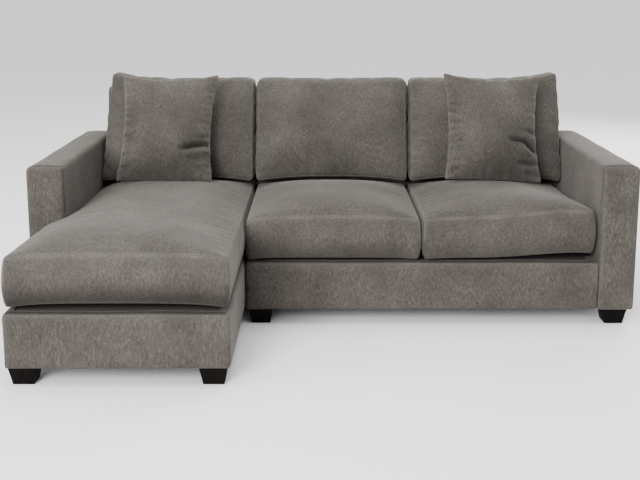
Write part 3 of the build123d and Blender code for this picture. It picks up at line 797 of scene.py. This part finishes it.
# The next-to-last column of each seat is the strength of its painted shade.
seats = (
    ("chaise", 4.2, 0.020, 0.030, 0.0, 0.0, 0.90, 0.4),
    ("middle", 2.8, 0.004, 0.014, 0.0, 0.0, 0.34, 1.7),
    ("right", 2.8, 0.002, 0.014, 0.024, 0.012, 0.30, 2.9),
)
for name, flatness, full_front, hollow, lift, short, shade_strength, turn in seats:
    low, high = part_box(f"{name}_seat_cover")
    high = Vector((high.x - short, high.y, low.z + seat_boxing))
    cushion = add_pad(f"{name}_seat_cushion", low, high, seat_cell)
    blank = points_of(cushion)
    u, v, w = (2 * (blank - np.array(low)) / np.array(high - low) - 1).T
    seam_gap = edge_distance(blank, low, high)
    seam = (seam_gap < 1e-5) & (w > 0.999)
    from_front = blank[:, 1] - low.y
    from_back = high.y - blank[:, 1]
    from_side = np.minimum(blank[:, 0] - low.x, high.x - blank[:, 0])
    upper = 0.5 + 0.5 * w
    over = np.clip(w, 0, 1)
    under = np.clip(-w, 0, 1)
    # Painted highlight along the top seams, partly rubbed pile, and painted shade that grows towards
    # the bottom, strongest on the chaise.
    wear_and_highlight = 0.75 + 0.25 * np.sin(40 * (blank[:, 0] + blank[:, 1]) + turn)
    set_rub_and_highlight(cushion, seat_rub_and_highlight * wear_and_highlight * np.exp(-seam_gap / 0.005) * (w > 0))
    set_painted_shade(cushion, shade_strength * ease((0.45 - w) / 1.3))
    places = rounded(rounded(blank, low - tall, high + tall, seat_corner), low, high, seat_edge)

    # The front and sides lean in over a soft belly.
    belly = seat_belly * (1 - w ** 2) * (1 - u ** 4)
    face = seat_set_back + seat_lean * over ** 1.8 + seat_tuck * under ** 2 - belly
    places[:, 1] += np.exp(-from_front / 0.085) * face
    places[:, 0] -= np.sign(u) * np.exp(-from_side / 0.05) * (0.005 * over ** 1.5 + 0.008 * under ** 2)

    # The top is crowned, and on the chaise the crown narrows beside the arm.
    crown_left = low.x
    if name == "chaise":
        places[:, 0] = step_in(blank, places[:, 0], low.x, high.x, ahead=0.034, reach=0.026)
        crown_left = low.x + ease((blank[:, 1] - ear_back + 0.25) / 0.5) * (arm_inside - low.x)
    across = np.clip(2 * (places[:, 0] - crown_left) / (high.x - crown_left) - 1, -1, 1)
    front_slope = 1 - (1 - np.clip(from_front / crown_reach, 0, 1)) ** 2.2
    front_rise = front_crown + (1 - front_crown) * front_slope
    back_rise = 1 - (1 - np.clip(from_back / crown_reach, 0, 1)) ** 2.2
    places[:, 2] += seat_crown * (1 - np.abs(across) ** flatness) * front_rise * back_rise * upper
    places[:, 2] += full_front * upper * np.exp(-from_front / 0.30)

    # The lower edge hollows at the front, and the right cushion rides up on its arm.
    places[:, 2] += hollow * under * (1 - 0.6 * u ** 4) * np.exp(-from_front / 0.09)
    places[:, 2] += lift * (1 + 0.4 * upper) * ease(0.25 + 0.75 * u) * ease((0.4 - v) / 1.4)
    round_seam = blank[:, 0] + blank[:, 1]
    gather = puckers(round_seam, seam_gap, pitch=0.061, height=seat_pucker, reach=0.020, turn=turn)
    gather *= w > -0.4
    swell_by(cushion, places, gather)
    puff(cushion, np.maximum(w < -0.999, seam), pressure=2.4, slack=0.002, cap=0.010)
    smooth(cushion)
    cord = seam_cord("seam", seam_route(cushion, blank, seam, (0, 1)), seam_thickness, True)
    cushion = join([cushion, cord], f"{name}_seat_cushion")
    nodes_for = [f"{name}_seat_cover", f"{name}_seat_core"]
    finish_piece(cushion, taupe_velvet, f"{name}_seat_cushion", nodes_for)

# Back cushions.
# Fibre-filled velvet covers with a boxing all round, deep at the foot and thin at the head.
# They stand loose on the seat cushions and lean on the backs.
back_cell = 0.0125
back_corner = 0.020
back_edge = 0.014
back_point = 0.006
back_crown = 0.042
back_spread = 0.004
back_stretch = 0.010
back_set = 0.012
back_waist = 0.003
# Strengths of the painted highlight along the front seam, partly rubbed pile, and of the painted shade
# at the foot.
back_rub_and_highlight = 0.20
foot_shade = 0.5
corner_rise = 0.028
head_dip = 0.005
corner_draw = 0.018
foot_rise = 0.016
foot_drop = 0.022
backs = (
    ("left", 0.026, 0.003, 0.6),
    ("middle", 0.002, 0.002, 2.1),
    ("right", 0.002, 0.002, 4.0),
)
for name, left_sway, right_sway, turn in backs:
    low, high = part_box(f"{name}_back_cushion")
    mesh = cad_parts[f"{name}_back_cushion"].data
    head = [vertex.co.y for vertex in mesh.vertices if vertex.co.z > high.z - 0.0005]
    foot = [vertex.co.y for vertex in mesh.vertices if vertex.co.z < low.z + 0.0005]
    deep = max(foot) - min(foot)
    blank_low = Vector((low.x - back_spread, 0, low.z))
    blank_high = Vector((high.x + back_spread, deep, high.z + back_stretch))
    cushion = add_pad(f"{name}_back_cushion_cover", blank_low, blank_high, back_cell)
    blank = points_of(cushion)
    u, v, w = (2 * (blank - np.array(blank_low)) / np.array(blank_high - blank_low) - 1).T
    seam_gap = edge_distance(blank, blank_low, blank_high)
    front_seam = (seam_gap < 1e-5) & (v < -0.999)
    # Painted highlight along the front seam, partly rubbed pile, and painted shade at the foot, where
    # it meets the seat.
    wear_and_highlight = 0.75 + 0.25 * np.sin(38 * (blank[:, 0] + blank[:, 2]) + turn)
    set_rub_and_highlight(cushion, back_rub_and_highlight * wear_and_highlight * np.exp(-seam_gap / 0.006) * (v < 0.3))
    set_painted_shade(cushion, foot_shade * ease((-0.86 - w) / 0.14))

    # The corner on the sofa's end is pointed, the others are round.
    places = rounded(blank, blank_low - across_y, blank_high + across_y, back_corner)
    places = rounded(places, blank_low, blank_high, back_edge)
    outer = np.clip({"left": -u, "middle": 0 * u, "right": u}[name], 0, 1)
    pointed = rounded(blank, blank_low, blank_high, back_point)
    places += (ease(1.6 * outer - 0.4) * (w > 0))[:, None] * (pointed - places)

    # The wedge leans on the back, with a crowned front.
    rise = (places[:, 2] - low.z) / (high.z - low.z)
    rear = max(foot) + rise * (max(head) - max(foot))
    front = min(foot) + back_set + rise * (min(head) - min(foot))
    dome = (1 - np.abs(u) ** 2.6) * (1 - np.abs(w) ** 2.6)
    ahead = np.clip(-v, 0, 1)
    places[:, 1] = front + places[:, 1] / deep * (rear - front) - back_crown * dome * ahead

    # It sways to the side, stands up at its pointed corner and sags at its foot.
    sway = left_sway + (right_sway - left_sway) * (1 + u) / 2
    places[:, 0] += sway * rise - np.sign(u) * back_waist * (1 - w ** 2)
    places[:, 2] += np.clip(w, 0, 1) ** 2 * (corner_rise * outer ** 2.5 - head_dip * (1 - u ** 2))
    places[:, 0] -= np.sign(u) * corner_draw * outer ** 4 * np.clip(w - 0.3, 0, 1)
    places[:, 2] += (foot_rise * ahead - foot_drop * np.abs(u) ** 2.6) * np.clip(-w, 0, 1) ** 2
    slack = 0.0005 + 0.0022 * outer * np.clip(0.4 - w, 0, 1)
    round_seam = blank[:, 0] + blank[:, 2]
    gather = puckers(round_seam, seam_gap, pitch=0.052, height=slack, reach=0.035, turn=turn)
    gather *= v < 0.9
    swell_by(cushion, places, gather)
    rests = np.maximum(w < -0.999, v > 0.999)
    puff(cushion, np.maximum(rests, front_seam), pressure=2.6, slack=0.010, cap=0.014)
    smooth(cushion)
    cord = seam_cord("seam", seam_route(cushion, blank, front_seam, (0, 2)), seam_thickness, True)
    cushion = join([cushion, cord], f"{name}_back_cushion_cover")
    nodes_for = [f"{name}_back_cushion", f"{name}_back_fill"]
    finish_piece(cushion, taupe_velvet, f"{name}_back", nodes_for)

# Throw pillows.
# Two panels of the same velvet sewn edge to edge over a fibre insert, with no boxing.
# They lean on the outer back cushions, slump a little and crease where they were pushed into place.


def crease(places, start, end, depth, width):
    """Press a groove into a pillow's front along a line in its plane, and give the painted shade for
    the groove.
    """
    start = np.array(start)
    along = np.array(end) - start
    flat = places[:, [0, 2]]
    share = np.clip((flat - start) @ along / (along @ along), 0, 1)
    away = np.linalg.norm(flat - start - share[:, None] * along, axis=1)
    amount = depth * np.sin(math.pi * np.clip(0.15 + 0.85 * share, 0, 1)) * np.exp(-(away / width) ** 2)
    amount *= places[:, 1] < -crease_level
    places[:, 1] += amount
    return np.clip(amount / deep_crease, 0, 1)


pillow_size = (0.408, 0.456)
pillow_depth = 0.144
pillow_draw = 0.020
pillow_cell = 0.009
pillow_raise = 0.016
pillow_edge = 0.006
pillow_seam = 0.004
pillow_sag = 0.005
# Strengths of the painted highlight along the seams (partly rubbed pile) and on the puckers, and of the
# painted shade on the lower half.
pillow_rub_and_highlight = 0.18
gather_highlight = 0.30
pillow_shade = 0.34
# Depth of a groove at which its painted shade is full.
deep_crease = 0.030
crease_level = 0.008
# Each pillow has a roll, a sway, a turn of its waves and its folds: start, end, depth and width.
pillows = (
    ("left", 0.0, 0.050, 0.9, (
        ((0.204, -0.078), (0.140, -0.074), 0.036, 0.008),
        ((0.172, -0.074), (0.060, -0.098), 0.040, 0.008),
        ((0.190, -0.106), (0.080, -0.124), -0.018, 0.016),
        ((0.200, -0.042), (0.120, -0.052), 0.016, 0.006),
        ((-0.192, 0.052), (-0.130, 0.034), 0.009, 0.007),
        ((-0.192, 0.010), (-0.125, -0.004), 0.008, 0.007),
        ((-0.190, -0.036), (-0.120, -0.058), 0.009, 0.008),
        ((-0.195, -0.205), (-0.110, -0.140), 0.009, 0.010),
        ((0.195, -0.205), (0.120, -0.160), 0.008, 0.010),
    )),
    ("right", math.radians(2.2), -0.040, 2.4, (
        ((0.066, -0.056), (0.150, -0.064), 0.026, 0.008),
        ((0.130, -0.064), (0.190, -0.112), 0.040, 0.008),
        ((0.090, -0.088), (0.166, -0.122), -0.014, 0.014),
        ((0.140, -0.010), (0.190, -0.040), 0.018, 0.006),
        ((0.105, -0.150), (0.195, -0.160), 0.020, 0.008),
        ((0.130, -0.190), (0.195, -0.205), 0.009, 0.008),
        ((-0.192, 0.100), (-0.135, 0.082), 0.009, 0.007),
        ((-0.192, 0.062), (-0.130, 0.044), 0.010, 0.007),
        ((-0.190, 0.020), (-0.135, 0.004), 0.008, 0.007),
        ((-0.195, -0.205), (-0.130, -0.170), 0.009, 0.009),
    )),
)
for name, roll, sway, turn, folds in pillows:
    low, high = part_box(f"{name}_throw_pillow")
    half = Vector((pillow_size[0] / 2, pillow_edge, pillow_size[1] / 2))
    pillow = add_pad(f"{name}_pillow", -half, half, pillow_cell)
    blank = points_of(pillow)
    u = blank[:, 0] / half.x
    w = blank[:, 2] / half.z
    facing = np.sign(blank[:, 1])
    seam = np.maximum(np.abs(u), np.abs(w)) > 0.999
    from_side = (1 - np.abs(u)) * half.x
    from_end = (1 - np.abs(w)) * half.z
    seam_gap = np.minimum(from_side, from_end)
    # Painted shade over the lower half of each panel.
    shade = pillow_shade * ease((0.1 - w) / 0.7) * (1 - u ** 2) * (1 - np.abs(w) ** 6)

    # The edges draw in between the corners and ripple where the cloth is gathered.
    places = blank.copy()
    side_ripple = 0.0012 * np.sin(blank[:, 2] * 83 + turn)
    side_ripple += 0.0007 * np.sin(blank[:, 2] * 149 + 2 * turn)
    top_ripple = 0.0010 * np.sin(blank[:, 0] * 90 + turn)
    places[:, 0] -= np.sign(u) * (pillow_draw * (1 - w ** 2) + side_ripple) * np.abs(u) ** 3
    places[:, 2] -= (pillow_draw * (1 - u ** 2) + top_ripple) * np.clip(w, 0, 1) ** 3
    places[:, 2] += pillow_sag * (1 - u ** 2) * np.clip(-w, 0, 1) ** 3

    # Both panels swell from the seam, fuller below the middle.
    sunk = w + 0.10 * (1 - w ** 2)
    swell = ((1 - np.abs(u) ** 2.2) * (1 - np.abs(sunk) ** 2.2)) ** 0.58
    gather = puckers(blank[:, 2], from_side, pitch=0.027, height=0.0042, reach=0.026, turn=turn)
    gather += puckers(blank[:, 0], from_end, pitch=0.037, height=0.0022, reach=0.034, turn=2 * turn)
    places[:, 1] = facing * (0.003 + 0.88 * pillow_depth / 2 * swell + gather * (seam_gap > 0.004))
    move_points(pillow, places)
    # Painted highlight along the seams, partly rubbed pile, and on the tops of the puckers.
    worn_and_highlit = pillow_rub_and_highlight * np.exp(-seam_gap / 0.006)
    worn_and_highlit += gather_highlight * np.clip(gather / 0.004, 0, 1) * np.exp(-seam_gap / 0.03)
    set_rub_and_highlight(pillow, worn_and_highlit)
    puff(pillow, 0.6 * seam, pressure=4.0, slack=0.015, cap=0.018)
    places = points_of(pillow)
    # Each fold adds painted shade in its groove to the painted shade of the lower half.
    for fold in folds:
        shade += crease(places, *fold)
    set_painted_shade(pillow, shade)
    move_points(pillow, places)
    smooth(pillow)
    route = seam_route(pillow, blank, seam & (blank[:, 1] < 0), (0, 2))
    route[:, 1] = 0
    cord = seam_cord("seam", route, pillow_seam, True)
    pillow = join([pillow, cord], f"{name}_pillow")

    # It is swayed and rolled in its own plane, then leant on the cushion behind it.
    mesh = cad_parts[f"{name}_throw_pillow"].data
    top = sorted((vertex.co for vertex in mesh.vertices), key=lambda place: -place.z)[:2]
    bottom = sorted((vertex.co for vertex in mesh.vertices), key=lambda place: place.z)[:2]
    upward = (sum(top, Vector()) - sum(bottom, Vector())) / 2
    lean = math.atan2(upward.y, upward.z)
    places = points_of(pillow)
    places[:, 0] += sway * places[:, 2]
    turned = np.column_stack((
        places[:, 0] * math.cos(roll) + places[:, 2] * math.sin(roll),
        places[:, 1],
        places[:, 2] * math.cos(roll) - places[:, 0] * math.sin(roll),
    ))
    leant = np.column_stack((
        turned[:, 0],
        turned[:, 1] * math.cos(lean) + turned[:, 2] * math.sin(lean),
        turned[:, 2] * math.cos(lean) - turned[:, 1] * math.sin(lean),
    ))
    middle = (low + high) / 2 + Vector((0, 0, pillow_raise))
    move_points(pillow, leant + np.array(middle))
    nodes_for = [f"{name}_throw_pillow", f"{name}_pillow_insert"]
    finish_piece(pillow, taupe_velvet, f"{name}_pillow", nodes_for)

# Studio.
# A wide pale floor, an even bright sky and four soft lights, the strongest from the front left.
# The camera stands in front at eye height.
ready()
bpy.ops.mesh.primitive_plane_add(size=400)
floor = bpy.context.object
floor.name = "pale_floor"
pale_paper, nodes, links, shader, place = new_look("pale_paper")
tooth = noise(nodes, links, place, 60, detail=2.0)
paper_colours = [(0, (0.90, 0.90, 0.90)), (1, (0.93, 0.93, 0.93))]
links.new(ramp(nodes, links, tooth, paper_colours), shader.inputs["Base Color"])
shader.inputs["Roughness"].default_value = 0.9
shader.inputs["Specular IOR Level"].default_value = 0.1
floor.data.materials.append(pale_paper)

world = bpy.context.scene.world or bpy.data.worlds.new("studio")
bpy.context.scene.world = world
world.use_nodes = True
sky = world.node_tree.nodes["Background"]
sky.inputs["Color"].default_value = (1, 1, 1, 1)
sky.inputs["Strength"].default_value = 1.25
aim = Vector((0, 0.1, 0.4))
for name, place, width, power in (
    ("front_softbox", (-2.4, -6.2, 3.0), 2.8, 710),
    ("overhead_softbox", (-0.5, 0.1, 4.0), 2.8, 95),
    ("side_softbox", (-4.2, -1.6, 2.6), 2.4, 60),
    ("rear_softbox", (3.2, 4.0, 3.0), 2.6, 270),
):
    data = bpy.data.lights.new(name, "AREA")
    data.size = width
    data.energy = power
    light = bpy.data.objects.new(name, data)
    bpy.context.scene.collection.objects.link(light)
    light.location = place
    light.rotation_euler = (aim - Vector(place)).to_track_quat("-Z", "Y").to_euler()

picture_width = 640
focal_pixels = 995
shift_pixels = -72
tilt_down = 10.34
camera_data = bpy.data.cameras.new("photo_camera")
camera_data.sensor_width = 36
camera_data.lens = 36 * focal_pixels / picture_width
camera_data.shift_y = shift_pixels / picture_width
camera = bpy.data.objects.new("photo_camera", camera_data)
bpy.context.scene.collection.objects.link(camera)
camera.location = (-0.050, -3.827, 1.279)
camera.rotation_euler = (math.radians(90 - tilt_down), 0, 0)
bpy.context.scene.camera = camera
